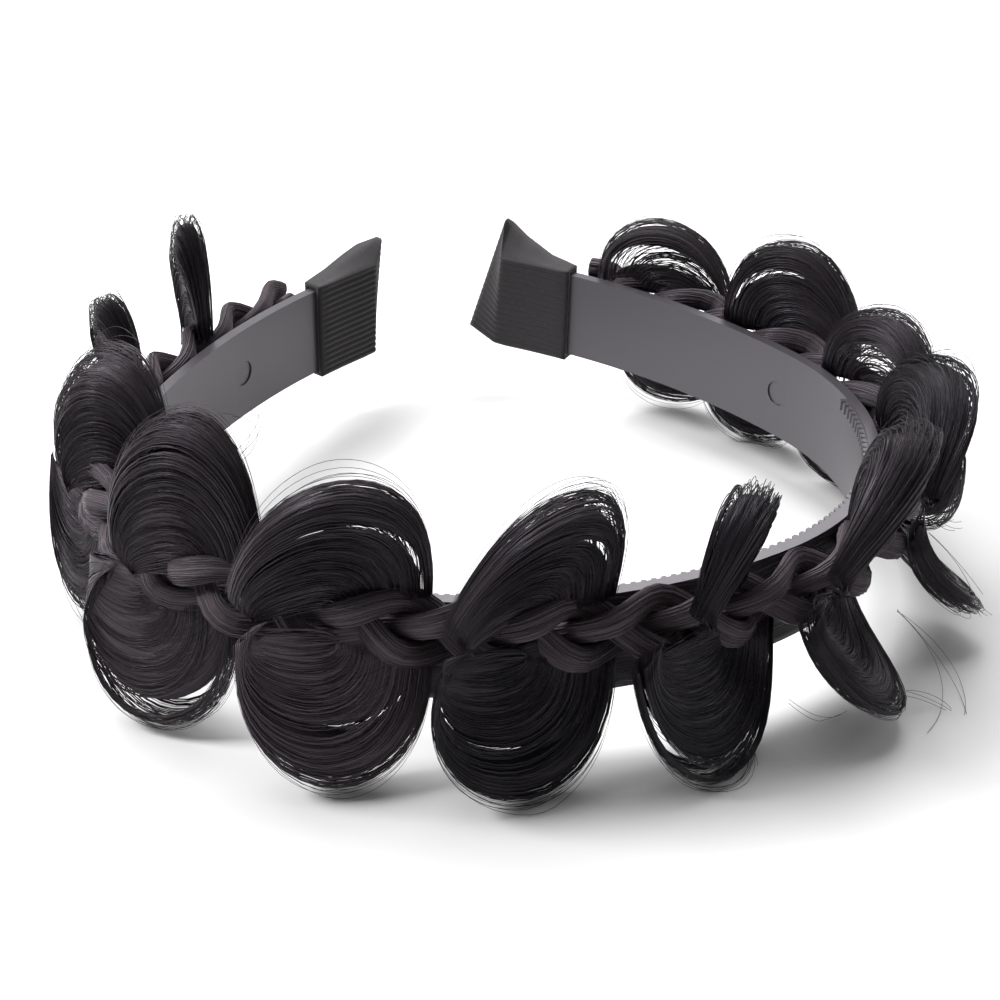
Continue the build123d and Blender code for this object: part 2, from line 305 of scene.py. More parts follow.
# How light the light fibres of the braid and of plain hair are, and how finely fibres differ in
# colour across a loop and across a strand. The braid's light fibres are made lighter than plain
# hair's as painted light, for the light that falls on the braid's lumps.
BRAID_PAINTED_LIGHT = 3.2
USUAL_TONE = 1.0
LOOP_GRAIN = 90.0
STRAND_GRAIN = 60.0

# Where the random draws start, for the strands, the loops and the loose hairs
STRAND_SEED = 40
LOOP_SEED = 100
WISP_SEED = 7

# A direction that no fibre starts in, so that each one's section can be squared up to it
ODD_DIRECTION = (0.31, 0.52, 0.79)


class HoopSettings(bpy.types.PropertyGroup):
    """The plastic hoop's finish."""

    color: FloatVectorProperty(
        name="Plastic", description="Colour of the moulded plastic", subtype="COLOR",
        size=3, min=0, max=1, default=(0.036, 0.033, 0.038),
    )
    roughness: FloatProperty(
        name="Roughness", description="How dull the satin plastic is", subtype="FACTOR",
        min=0, max=1, default=0.33,
    )


class RibbonSettings(bpy.types.PropertyGroup):
    """The ribbed ribbon folded over each tip."""

    color: FloatVectorProperty(
        name="Ribbon", description="Colour of the ribbon's threads", subtype="COLOR",
        size=3, min=0, max=1, default=(0.011, 0.0095, 0.0108),
    )
    rib_pitch: FloatProperty(
        name="Rib pitch", description="From one rib of the ribbon to the next", unit="LENGTH",
        min=0.0005, max=0.004, default=0.0014,
    )
    rib_depth: FloatProperty(
        name="Rib depth", description="How far a rib stands proud", unit="LENGTH",
        min=0, max=0.001, default=0.00028,
    )


class HairSettings(bpy.types.PropertyGroup):
    """The synthetic hair of the braid and the loops."""

    color: FloatVectorProperty(
        name="Hair", description="Colour of the darkest fibres", subtype="COLOR",
        size=3, min=0, max=1, default=(0.0085, 0.0078, 0.0105),
    )
    light_color: FloatVectorProperty(
        name="Light fibres", description="Colour of the lightest fibres", subtype="COLOR",
        size=3, min=0, max=1, default=(0.032, 0.026, 0.029),
    )
    fibre_width: FloatProperty(
        name="Fibre width", description="Width of a visible lock of fibres", unit="LENGTH",
        min=0.00005, max=0.001, default=0.00019,
    )
    stray_width: FloatProperty(
        name="Stray width", description="Width of a single stray hair", unit="LENGTH",
        min=0.00003, max=0.0005, default=0.00010,
    )
    loop_fibres: IntProperty(
        name="Loop fibres", description="Usual number of covering fibres in a loop",
        min=20, max=900, default=240,
    )
    stray_hairs: IntProperty(
        name="Stray hairs", description="Usual number of hairs that arch beyond a loop",
        min=0, max=60, default=9,
    )
    strand_fibres: IntProperty(
        name="Strand fibres", description="Number of covering fibres in a strand of the braid",
        min=8, max=200, default=40,
    )


class StageSettings(bpy.types.PropertyGroup):
    """The floor, the lights and the camera."""

    floor_color: FloatVectorProperty(
        name="Floor", description="Colour of the pale floor", subtype="COLOR",
        size=3, min=0, max=1, default=(0.60, 0.60, 0.60),
    )
    key_power: FloatProperty(
        name="Overhead light", description="Power of the softbox over the headband", unit="POWER",
        min=0, max=500, default=21.0,
    )
    side_power: FloatProperty(
        name="Side light", description="Power of the softbox at the left", unit="POWER",
        min=0, max=500, default=22.0,
    )
    back_power: FloatProperty(
        name="Back light", description="Power of the softbox over the floor behind", unit="POWER",
        min=0, max=500, default=6.0,
    )
    fill_power: FloatProperty(
        name="Fill light", description="Power of the softbox at the right", unit="POWER",
        min=0, max=500, default=3.0,
    )
    sky_strength: FloatProperty(
        name="Surroundings", description="Brightness of the pale surroundings",
        min=0, max=5, default=0.28,
    )
    lens: FloatProperty(
        name="Lens", description="Focal length of the camera", unit="CAMERA",
        min=10, max=300, default=65.3,
    )


def unit(vectors):
    """The same directions, each of length one."""
    return vectors / np.maximum(np.linalg.norm(vectors, axis=-1, keepdims=True), 1e-12)


def course(along):
    """Place and heading on the band's inner face, along it from the crown's middle."""
    left = np.abs(along)
    x = np.zeros_like(left)
    y = np.zeros_like(left)
    heading = np.zeros_like(left)
    for run, radius in ARCS:
        step = np.minimum(left, run) / radius
        x += radius * (np.sin(heading + step) - np.sin(heading))
        y += radius * (np.cos(heading) - np.cos(heading + step))
        heading += step
        left = left - np.minimum(left, run)
    return x + left * np.cos(heading), y + left * np.sin(heading), heading


def place(along, out, up):
    """Points in metres, by their way along the band, out from its inner face and up."""
    along, out, up = np.broadcast_arrays(np.asarray(along, float), out, up)
    x, y, heading = course(along)
    x = np.where(along < 0, -1, 1) * (x + out * np.sin(heading))
    y = y - out * np.cos(heading)
    return np.stack((x, y, up), -1) * MM + band_origin()


def braid_level(along):
    """Height of the braid's middle above the band's, at a way along the band."""
    return BRAID_RISE + CREST_RISE * np.exp(-(((along / HALF_LENGTH - CREST_SHARE) / CREST_SPREAD) ** 2))


def band_origin():
    """The middle of the band's inner face at the crown, in metres, from the hoop's own box."""
    low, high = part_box("hoop")
    return np.array(((low.x + high.x) / 2, low.y + BAND_WALL * MM, (low.z + high.z) / 2))


def loop_point(shape, side, turn, rim, thick, early=FIBRE_EARLY_SHARE):
    """Points of a loop, by the turn of its fibres, their way out to the rim and across it.

    All fibres start in one bundle at the left root. The inner ones go back into the braid sooner.
    """
    height = np.sin(turn)
    start = (1 - turn / pi) ** BUNDLE_HASTE
    end = (turn / pi) ** TUCK_HASTE
    inner = 1 - np.clip(rim, 0, 1)
    way = (1 - np.cos(turn)) * (1 - early * inner) - 1
    half_span = shape["span"] * LOOP_PITCH / 2
    reach = half_span * (way - np.cos(turn) * SWELL_SHARE * rim * height)
    fan = height * (HEART_SHARE + (1 - HEART_SHARE) * rim)
    bulk = ROOT_THICKNESS + (shape["plump"] * LOOP_THICKNESS - ROOT_THICKNESS) * fan
    across = thick * bulk / 2
    twist = radians(shape["turn"])
    left = (1 - way) / 2
    root_out, root_up = loop_root(side, left, shape["stand"] * half_span * sin(twist), shape["forward"])
    along = shape["along"] * HALF_LENGTH + shape["lean"] * LOOP_PITCH * rim * height
    shift, haste = shape["tie"]
    along = along - BUNDLE_WIDTH * (rim - 0.5) * start + shift * (1 - turn / pi) ** haste
    along = along + reach * cos(twist) + across * sin(twist)
    out = root_out + shape["splay"] * LOOP_SPLAY * rim * height**2
    out = out - reach * sin(twist) + across * cos(twist)
    up = root_up + ROOT_HEIGHT * rim * (1 - height) * (1 - turn / pi)
    up = up + shape["rise"] * LOOP_RISE * rim * np.abs(height) ** ARCH_POWER - TUCK_DEPTH * end
    if side < 0:
        up = up - LAP * start
        out = out - LAP_INSET * start
    up = braid_level(shape["along"] * HALF_LENGTH) + side * up
    spill = np.maximum(FLOOR_GAP - band_origin()[2] / MM - up, 0)
    return place(along, out + FLOOR_SPILL * spill, up + spill)


def loop_root(side, left, swing, forward):
    """Out and up of the line between a loop's roots, from behind the braid's edge to its front."""
    tucked = BRAID_FLOOR + ROOT_THICKNESS / 2 + swing
    front = BRAID_ROOF + PIECE_GAP + ROOT_THICKNESS / 2 + swing
    level = BRAID_HALF_WIDTH + PIECE_GAP
    up = level - (level - TIE_GAP / 2) * left**3
    if side > 0:
        return tucked + max(0, front - tucked - 2 * swing) * forward * left**2, up
    return tucked + (front - tucked) * forward * left, up


def tubes(lines, widths, sides=FIBRE_SIDES):
    """Closed tubes along many lines at once: points, faces and texture places."""
    count, steps, _ = lines.shape
    heading = unit(np.gradient(lines, axis=1))
    across = np.empty_like(lines)
    across[:, 0] = unit(np.cross(heading[:, 0], ODD_DIRECTION))
    for step in range(1, steps):
        before = across[:, step - 1]
        ahead = heading[:, step]
        across[:, step] = unit(before - ahead * np.sum(before * ahead, -1, keepdims=True))
    third = np.cross(heading, across)
    angle = 2 * pi * np.arange(sides) / sides
    ring = across[:, :, None] * np.cos(angle)[:, None] + third[:, :, None] * np.sin(angle)[:, None]
    points = lines[:, :, None] + widths[:, :, None, None] / 2 * ring
    return points.reshape(-1, 3), tube_faces(count, steps, sides)


def tube_faces(count, steps, sides):
    """Four-sided faces along each tube and a closing face at each end."""
    spot = np.arange(sides)
    after = (spot + 1) % sides
    base = (np.arange(count)[:, None] * steps + np.arange(steps - 1)[None]) * sides
    base = base[:, :, None]
    walls = np.stack((base + spot, base + after, base + sides + after, base + sides + spot), -1)
    starts = np.arange(count)[:, None] * steps * sides + spot[::-1]
    ends = (np.arange(count)[:, None] * steps + steps - 1) * sides + spot
    return [walls.reshape(-1, 4), starts, ends]


def fibre_places(lines, seeds, sides=FIBRE_SIDES):
    """Texture places of tubes: along each one, and a number of its own across."""
    count, steps, _ = lines.shape
    u = np.broadcast_to(np.linspace(0, 1, steps)[None, :, None], (count, steps, sides))
    v = np.broadcast_to(seeds[:, None, None], (count, steps, sides))
    return np.stack((u, v), -1).reshape(-1, 2)


def ring_solid(rings):
    """One closed solid from a row of rings with as many points, with its texture places."""
    steps, sides, _ = rings.shape
    points = rings.reshape(-1, 3)
    faces = tube_faces(1, steps, sides)
    u, v = np.meshgrid(np.linspace(0, 1, steps), np.linspace(0, 1, sides), indexing="ij")
    return points, faces, np.stack((u, v), -1).reshape(-1, 2)


def add_piece(name, parts, material, nodes):
    """A mesh object from parts of points, faces and texture places, standing for CAD nodes."""
    points = np.concatenate([part[0] for part in parts])
    places = np.concatenate([part[2] for part in parts])
    corners = []
    sizes = []
    first = 0
    for part in parts:
        for block in part[1]:
            corners.append((block + first).reshape(-1))
            sizes.append(np.full(len(block), block.shape[1]))
        first += len(part[0])
    corners = np.concatenate(corners)
    sizes = np.concatenate(sizes)
    mesh = bpy.data.meshes.new(name)
    mesh.vertices.add(len(points))
    mesh.vertices.foreach_set("co", points.astype(np.float32).ravel())
    mesh.loops.add(len(corners))
    mesh.loops.foreach_set("vertex_index", corners.astype(np.int32))
    mesh.polygons.add(len(sizes))
    mesh.polygons.foreach_set("loop_start", (np.cumsum(sizes) - sizes).astype(np.int32))
    mesh.uv_layers.new(name="fibres").data.foreach_set("uv", places[corners].astype(np.float32).ravel())
    mesh.polygons.foreach_set("use_smooth", np.ones(len(sizes), bool))
    mesh.update(calc_edges=True)
    mesh.materials.append(material)
    piece = bpy.data.objects.new(name, mesh)
    bpy.context.scene.collection.objects.link(piece)
    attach(piece, "root")
    if nodes:
        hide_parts(*nodes)
    return piece


def loop_core(shape, side, low, high, steps=26, around=24):
    """A dense layer of a loop, just under its covering fibres."""
    turn = pi * np.linspace(*CORE_RUN, steps)[:, None]
    angle = 2 * pi * np.arange(around)[None] / around
    heart = min(low, 0) * np.sin(turn / 2) + max(low, 0)
    rim = heart + (high - heart) * (1 - np.cos(angle)) / 2
    rim = 0.5 + (rim - 0.5) * np.clip(CORE_START + CORE_WIDENING * turn / pi, 0, 1)
    thick = CORE_COVER * np.interp(rim, PROFILE_RIM, PROFILE_THICK) * np.sin(turn) ** CORE_END_POWER
    thick = thick * np.sign(np.sin(angle)) * np.abs(np.sin(angle)) ** CORE_EDGE_POWER
    return ring_solid(loop_point(shape, side, turn, rim, thick, CORE_EARLY_SHARE))


def loop_fibres(shape, side, random, settings):
    """The covering fibres of a loop: its two faces and its loose rim."""
    count = round(settings.loop_fibres * shape["fibres"])
    fringe = round(FRINGE_SHARE * count)
    face = count - fringe
    heart = UPPER_HEART if side > 0 else LOWER_HEART
    rim = np.concatenate((
        random.uniform(heart, 1.0, face),
        random.normal(FRINGE_RIM, FRINGE_SPREAD, fringe),
    ))
    low, high = shape["slot"]
    moved = (rim > low) & (rim < high) & (random.random(count) < SLOT_CLEARING)
    rim = np.where(moved, high + (rim - low) * (1 - high) / (1 - low), rim)
    cover = np.interp(rim, PROFILE_RIM, PROFILE_THICK)
    thick = np.concatenate((
        np.where(random.random(face) < 0.5, -1, 1) * (1 - FACE_DEPTH + FACE_DEPTH * random.random(face) ** 2),
        random.uniform(-FRINGE_DEPTH, FRINGE_DEPTH, fringe),
    )) * cover
    width = settings.fibre_width * np.concatenate((
        random.uniform(*FACE_WIDTHS, face),
        random.uniform(*FRINGE_WIDTHS, fringe),
    ))
    loose = np.concatenate((np.full(face, FACE_LOOSENESS), np.full(fringe, FRINGE_LOOSENESS)))
    return loose_lines(shape, side, random, rim, thick, width, loose, FIBRE_STEPS)


def loop_strays(shape, side, random, settings):
    """Single hairs that have come loose and arch beyond a loop's rim."""
    count = round(settings.stray_hairs * shape["fibres"] * shape["span"])
    rim = STRAY_RIM + np.abs(random.normal(0.0, STRAY_SPREAD, count))
    thick = random.uniform(-STRAY_DEPTH, STRAY_DEPTH, count)
    width = np.full(count, settings.stray_width)
    loose = np.full(count, STRAY_LOOSENESS)
    return loose_lines(shape, side, random, rim, thick, width, loose, STRAY_STEPS)


def loose_lines(shape, side, random, rim, thick, width, loose, steps):
    """Tubes along a loop's fibres, each of which sways a little on its own way round."""
    count = len(rim)
    turn = pi * np.linspace(*FIBRE_RUN, steps)[None]
    wave = np.sin(turn * random.uniform(*WAVE_TURNS, (count, 1)) + random.uniform(0, 2 * pi, (count, 1)))
    sway = np.sin(turn * random.uniform(*SWAY_TURNS, (count, 1)) + random.uniform(0, 2 * pi, (count, 1)))
    free = np.sin(turn) * loose[:, None]
    rim = rim[:, None] * np.where(rim[:, None] < 0, np.sin(turn / 2), 1)
    lines = loop_point(shape, side, turn, rim + wave * free, thick[:, None] + SWAY_SHARE * sway * free)
    taper = TIP_WIDTH + (1 - TIP_WIDTH) * np.sin(turn) ** 0.5
    points, faces = tubes(lines, width[:, None] * taper)
    return points, faces, fibre_places(lines, random.random(count))


def wisp_hairs(row, random, settings):
    """A few long single hairs that leave the headband together, and rise or sink as they curl."""
    wisp = dict(zip(WISP_COLUMNS, row))
    share = np.linspace(0, 1, WISP_STEPS)[None]

    def vary(least, most):
        return random.uniform(least, most, (wisp["count"], 1))

    length = wisp["length"] * vary(0.7, 1.15)
    heading = np.radians(wisp["heading"] + vary(-14, 14))
    curl = np.radians(wisp["curl"]) * vary(0.6, 1.3)
    bearing = heading + curl * share
    step = length / (WISP_STEPS - 1)
    along = wisp["along"] * HALF_LENGTH + np.cumsum(step * np.sin(bearing), 1)
    out = wisp["out"] + np.cumsum(step * np.cos(bearing), 1)
    up = wisp["up"] + wisp["climb"] * np.sin(0.5 * pi * share) + vary(-1.2, 1.2)
    lines = place(along, out, up)
    lines[..., 2] = np.maximum(lines[..., 2], settings.stray_width)
    points, faces = tubes(lines, np.full(lines.shape[:2], settings.stray_width))
    return points, faces, fibre_places(lines, random.random(wisp["count"]))


def strand_lines(number, along, angle, share):
    """Points on or inside a braid strand, by the way along the band and round its section."""
    phase = 2 * pi * (along / BRAID_PERIOD + number / 3)
    slant = 2 * pi * SPREAD / BRAID_PERIOD * np.cos(phase)
    across = share * STRAND_WIDTH / 2 * np.cos(angle)
    squash = 1 / np.sqrt(1 + slant * slant)
    up = braid_level(along) + SPREAD * np.sin(phase) + across * squash
    out = BRAID_MIDDLE + STACK * np.sin(2 * phase) + share * STRAND_THICKNESS / 2 * np.sin(angle)
    return place(along - across * slant * squash, out, up)


def braid_strand(number, random, settings):
    """One strand of the braid: a dense core under fibres that wind slowly round it."""
    steps = round(2 * BRAID_REACH / BRAID_PERIOD * STRAND_STEPS)
    along = np.linspace(-BRAID_REACH, BRAID_REACH, steps + 1)
    ring = 2 * pi * np.arange(STRAND_SIDES)[None] / STRAND_SIDES
    core = ring_solid(strand_lines(number, along[:, None], ring, STRAND_CORE_SHARE))
    count = settings.strand_fibres
    along = along[None]

    def vary(least, most):
        return random.uniform(least, most, (count, 1))

    angle = 2 * pi * (np.arange(count) + random.uniform(-0.4, 0.4, count)) / count
    wind = 2 * pi * along / WIND_LENGTH + WIND_SWAY * np.sin(along / WIND_SWAY_LENGTH + vary(0, 6))
    share = vary(*STRAND_DEPTHS) + STRAND_RIPPLE * np.sin(along / STRAND_RIPPLE_LENGTH + vary(0, 6))
    lines = strand_lines(number, along, angle[:, None] + wind, share)
    width = settings.fibre_width * vary(0.8, 1.5) * np.ones_like(along)
    points, faces = tubes(lines, width)
    return [core, (points, faces, fibre_places(lines, random.random(count)))]


def tucked_hair(steps=180, around=24):
    """The thin layer of the loops' ends that lies on the band, behind the braid."""
    start, end = TUCKED_SPAN
    along = np.linspace(start * HALF_LENGTH, end * HALF_LENGTH, steps)[:, None]
    share = np.linspace(-1, 1, around)[None]
    edge = 0.5 * BAND_WIDTH - TUCKED_SETBACK + TUCKED_RAGGEDNESS * np.sin(along / 2.3) * np.sin(along / 7.1)
    face = 0.5 * PIECE_GAP + 0.4 * PIECE_GAP * np.sin(along / 3.7 + 9 * share) * (1 - share**2)
    floor = BAND_WALL + TUCKED_CLEARANCE
    outer = place(along, floor + np.maximum(face, TUCKED_LEAST), share * edge)
    inner = place(along, floor, share * edge)
    return ring_solid(np.concatenate((outer, inner[:, ::-1]), 1))


def sleeve_skin(side, table, settings):
    """A folded ribbon sleeve: ribbed outside, plain inside, and closed all round its edge."""
    mouth = HALF_LENGTH - SLEEVE_COVER
    ribs = round((BAND_WIDTH + 2 * FIT_GAP + 2 * RIBBON_WALL) * MM / settings.rib_pitch)
    runs = (6 * ribs, 4, 3, 4 * ribs, 3 * ribs, 4)
    facing = (-1, 0, 0, 1, 1, 0)
    corners = sleeve_corners(side, table, mouth)
    rows = []
    lifts = []
    for number, (run, face) in enumerate(zip(runs, facing)):
        share = (np.arange(run) / run)[:, None]
        before, after = corners[number], corners[(number + 1) % len(corners)]
        rows.append(before[:, None] * (1 - share) + after[:, None] * share)
        rise = abs(after[2] - before[2])[None] * share * MM / settings.rib_pitch
        lifts.append(face * (0.5 - 0.5 * np.cos(2 * pi * rise)) ** RIB_POWER)
    around = np.concatenate(rows, 1).transpose(2, 1, 0)
    lift = np.concatenate(lifts, 0).T
    from_mouth = np.abs(around[..., 0]) - mouth
    lift = lift * np.clip((from_mouth - HEM_WIDTH) / HEM_FADE, 0, 1) * settings.rib_depth / MM
    outer = place(around[..., 0], around[..., 1] + lift, around[..., 2])
    return ring_solid(np.concatenate((sleeve_hollow(side, mouth, runs), outer)))


def sleeve_corners(side, table, mouth):
    """The six corners of a sleeve's outer sections, from its open mouth to its pinched end."""
    knots = np.linspace(0, 1, len(table))
    spots = np.linspace(0, 1, SLEEVE_STEPS)
    cut = {name: np.interp(spots, knots, column) for name, column in zip(SLEEVE_COLUMNS, zip(*table))}
    top = side * (mouth + cut["reach"] * SLEEVE_COVER)
    foot = side * (mouth + cut["foot"] * SLEEVE_COVER)
    middle = BAND_WALL / 2
    half = (middle + FIT_GAP + RIBBON_WALL) * cut["pinch"]
    snug = BAND_WIDTH / 2 + FIT_GAP + RIBBON_WALL
    flare = middle + cut["flare"] * RIBBON_WALL
    pinched = np.clip((1 - cut["pinch"]) / FULL_PINCH, 0, 1)
    inner_top = snug * (1 + (cut["upper"] - 1) * pinched)
    inner_shift = cut["flare"] * RIBBON_WALL * pinched
    return np.array([
        (foot, middle - half, -snug * cut["lower"]),
        (top, middle - half + inner_shift, inner_top),
        (top, flare, snug * cut["upper"]),
        (top, flare + half, snug * cut["upper"]),
        ((top + foot) / 2, middle + half, snug * cut["lower"] * CREASE_SHARE),
        (foot, middle + half, -snug * cut["lower"]),
    ])


def sleeve_hollow(side, mouth, runs):
    """Three sections of a sleeve's inside, from past the band's tip back to the mouth."""
    back = BAND_WALL + FIT_GAP
    corners = np.array([
        (-FIT_GAP, -1), (-FIT_GAP, 1), (BAND_WALL / 2, 1), (back, 1), (back, CREASE_SHARE), (back, -1),
    ])
    rows = []
    for number, run in enumerate(runs):
        share = (np.arange(run) / run)[:, None]
        rows.append(corners[number] * (1 - share) + corners[(number + 1) % len(corners)] * share)
    section = np.concatenate(rows)
    depth = side * (mouth + np.array((SLEEVE_COVER + FIT_GAP, SLEEVE_COVER / 2, 0.0)))[:, None]
    return place(depth, section[None, :, 0], section[None, :, 1] * (BAND_WIDTH / 2 + FIT_GAP))


def node_tree(name):
    """A new material with its shader: the material, its nodes, its links and the shader."""
    material = bpy.data.materials.new(name)
    material.use_nodes = True
    nodes = material.node_tree.nodes
    return material, nodes, material.node_tree.links, nodes["Principled BSDF"]


def streaks(nodes, links, along, across, detail):
    """Noise drawn out along the fibres, from the piece's texture places."""
    places = nodes.new("ShaderNodeUVMap")
    places.uv_map = "fibres"
    stretch = nodes.new("ShaderNodeMapping")
    stretch.inputs["Scale"].default_value = (along, across, 1.0)
    noise = nodes.new("ShaderNodeTexNoise")
    noise.inputs["Scale"].default_value = 1.0
    noise.inputs["Detail"].default_value = detail
    links.new(places.outputs["UV"], stretch.inputs["Vector"])
    links.new(stretch.outputs["Vector"], noise.inputs["Vector"])
    return noise.outputs["Fac"]


def spread_range(nodes, links, value, low, high):
    """A noise's usual range drawn out to run from low to high."""
    ramp = nodes.new("ShaderNodeMapRange")
    ramp.inputs["From Min"].default_value = 0.3
    ramp.inputs["From Max"].default_value = 0.7
    ramp.inputs["To Min"].default_value = low
    ramp.inputs["To Max"].default_value = high
    links.new(value, ramp.inputs["Value"])
    return ramp.outputs["Result"]


def blend_colors(nodes, links, value, low, high):
    """A colour between two others, by a noise."""
    mix = nodes.new("ShaderNodeMix")
    mix.data_type = "RGBA"
    links.new(spread_range(nodes, links, value, 0.0, 1.0), mix.inputs["Factor"])
    mix.inputs["A"].default_value = (*low, 1.0)
    mix.inputs["B"].default_value = (*high, 1.0)
    return mix.outputs["Result"]


def add_bump(nodes, links, shader, value, distance):
    """Relief on a shader, from a noise, as deep as the distance in metres."""
    bump = nodes.new("ShaderNodeBump")
    bump.inputs["Strength"].default_value = 1.0
    bump.inputs["Distance"].default_value = distance
    links.new(value, bump.inputs["Height"])
    links.new(bump.outputs["Normal"], shader.inputs["Normal"])


def hair_material(name, settings, painted_light_scale, across):
    """Synthetic hair: dark fibres that differ in colour and gloss from one to the next; how much lighter the
    light fibres are made is painted light and shade.
    """
    material, nodes, links, shader = node_tree(name)
    tone_and_painted_light = streaks(nodes, links, along=1.5, across=across, detail=3.0)
    # Painted light and shade: the light fibres are made lighter or darker by the piece's own factor.
    light = [painted_light_scale * part for part in settings.light_color]
    links.new(blend_colors(nodes, links, tone_and_painted_light, settings.color, light), shader.inputs["Base Color"])
    gloss = streaks(nodes, links, along=3.0, across=1.7 * across, detail=1.0)
    links.new(spread_range(nodes, links, gloss, low=0.24, high=0.48), shader.inputs["Roughness"])
    shader.inputs["Specular IOR Level"].default_value = 0.26
    shader.inputs["Specular Tint"].default_value = (0.95, 0.88, 1.0, 1.0)
    relief = streaks(nodes, links, along=2.0, across=2.5 * across, detail=2.0)
    add_bump(nodes, links, shader, relief, distance=0.00025)
    return material


def plastic_material(settings):
    """Satin moulded plastic, with faint flow marks and a fine moulded grain."""
    material, nodes, links, shader = node_tree("satin_plastic")
    where = nodes.new("ShaderNodeTexCoord")
    flow = nodes.new("ShaderNodeTexNoise")
    flow.inputs["Scale"].default_value = 38.0
    flow.inputs["Detail"].default_value = 2.0
    links.new(where.outputs["Object"], flow.inputs["Vector"])
    dark = [0.88 * part for part in settings.color]
    color = blend_colors(nodes, links, flow.outputs["Fac"], dark, settings.color)
    links.new(color, shader.inputs["Base Color"])
    shader.inputs["Specular IOR Level"].default_value = 0.85
    shader.inputs["Specular Tint"].default_value = (0.98, 0.93, 1.0, 1.0)
    rough = settings.roughness
    dullness = spread_range(nodes, links, flow.outputs["Fac"], low=rough - 0.03, high=rough + 0.04)
    links.new(dullness, shader.inputs["Roughness"])
    grain = nodes.new("ShaderNodeTexNoise")
    grain.inputs["Scale"].default_value = 2600.0
    grain.inputs["Detail"].default_value = 2.0
    links.new(where.outputs["Object"], grain.inputs["Vector"])
    add_bump(nodes, links, shader, grain.outputs["Fac"], distance=0.00002)
    return material


def ribbon_material(settings):
    """Ribbed ribbon: fine threads that wrap each rib."""
    material, nodes, links, shader = node_tree("ribbed_ribbon")
    threads = streaks(nodes, links, along=190.0, across=60.0, detail=2.0)
    light = [1.9 * part for part in settings.color]
    links.new(blend_colors(nodes, links, threads, settings.color, light), shader.inputs["Base Color"])
    shader.inputs["Roughness"].default_value = 0.7
    shader.inputs["Specular IOR Level"].default_value = 0.25
    shader.inputs["Sheen Weight"].default_value = 0.16
    shader.inputs["Sheen Roughness"].default_value = 0.45
    add_bump(nodes, links, shader, threads, distance=0.00012)
    return material


class HEADBAND_OT_hoop(bpy.types.Operator):
    """Gives the moulded hoop its satin plastic"""

    bl_idname = "headband.hoop"
    bl_label = "Finish Hoop"

    def execute(self, context):
        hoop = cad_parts["hoop"]
        hoop.data.materials.clear()
        hoop.data.materials.append(plastic_material(context.scene.headband_hoop))
        return {"FINISHED"}


class HEADBAND_OT_ribbons(bpy.types.Operator):
    """Folds a ribbed ribbon sleeve over each tip of the hoop"""

    bl_idname = "headband.ribbons"
    bl_label = "Add Ribbon Sleeves"

    def execute(self, context):
        settings = context.scene.headband_ribbon
        material = ribbon_material(settings)
        for name, side, table in (("left", -1, LEFT_SLEEVE), ("right", 1, RIGHT_SLEEVE)):
            skin = sleeve_skin(side, table, settings)
            sleeve = add_piece(f"ribbon_sleeve_{name}", [skin], material, [f"ribbon_{name}"])
        return {"FINISHED"}


class HEADBAND_OT_braid(bpy.types.Operator):
    """Lays the braid's three strands along the hoop, over a thin layer of tucked hair"""

    bl_idname = "headband.braid"
    bl_label = "Add Braid"

    def execute(self, context):
        settings = context.scene.headband_hair
        # The braid's light fibres are made lighter than plain hair's: painted light for its lit lumps.
        material = hair_material("braid_fibres", settings, BRAID_PAINTED_LIGHT, STRAND_GRAIN)
        for number in range(3):
            random = np.random.default_rng(STRAND_SEED + number)
            parts = braid_strand(number, random, settings)
            node = f"braid_strand_{number + 1}"
            add_piece(f"braid_fibres_{number + 1}", parts, material, [node])
        material = hair_material("tucked_hair", settings, USUAL_TONE, STRAND_GRAIN)
        add_piece("tucked_hair", [tucked_hair()], material, [])
        return {"FINISHED"}


def add_loops(label, table, side, settings):
    """One piece for each loop of a row, from its dense layers and its covering fibres."""
    for number, row in enumerate(table, 1):
        shape = {**USUAL_SHAPE, **dict(zip(LOOP_COLUMNS, row)), **OWN_SHAPES.get((label, number), {})}
        random = np.random.default_rng(LOOP_SEED * (2 + side) + number)
        parts = [loop_core(shape, side, low, high) for low, high in shape["cores"]]
        parts.append(loop_fibres(shape, side, random, settings))
        parts.append(loop_strays(shape, side, random, settings))
        node = f"{label}_loop_{number:02d}"
        # Each loop's own factor paints light and shade: its light fibres are lighter in the light and darker
        # in shade.
        material = hair_material(f"{node}_fibres", settings, shape["tone_and_painted_light"], LOOP_GRAIN)
        add_piece(f"{node}_hair", parts, material, [node])


class HEADBAND_OT_upper_loops(bpy.types.Operator):
    """Fans out the hair loops that stand up from the braid"""

    bl_idname = "headband.upper_loops"
    bl_label = "Add Upper Loops"

    def execute(self, context):
        add_loops("upper", UPPER_LOOPS, 1, context.scene.headband_hair)
        return {"FINISHED"}


class HEADBAND_OT_lower_loops(bpy.types.Operator):
    """Fans out the hair loops that hang down from the braid"""

    bl_idname = "headband.lower_loops"
    bl_label = "Add Lower Loops"

    def execute(self, context):
        add_loops("lower", LOWER_LOOPS, -1, context.scene.headband_hair)
        return {"FINISHED"}


class HEADBAND_OT_wisps(bpy.types.Operator):
    """Lets a few long single hairs hang loose"""

    bl_idname = "headband.wisps"
    bl_label = "Add Loose Hairs"

    def execute(self, context):
        settings = context.scene.headband_hair
        material = hair_material("loose_hairs", settings, USUAL_TONE, LOOP_GRAIN)
        random = np.random.default_rng(WISP_SEED)
        parts = [wisp_hairs(row, random, settings) for row in WISPS]
        add_piece("loose_hairs", parts, material, [])
        return {"FINISHED"}


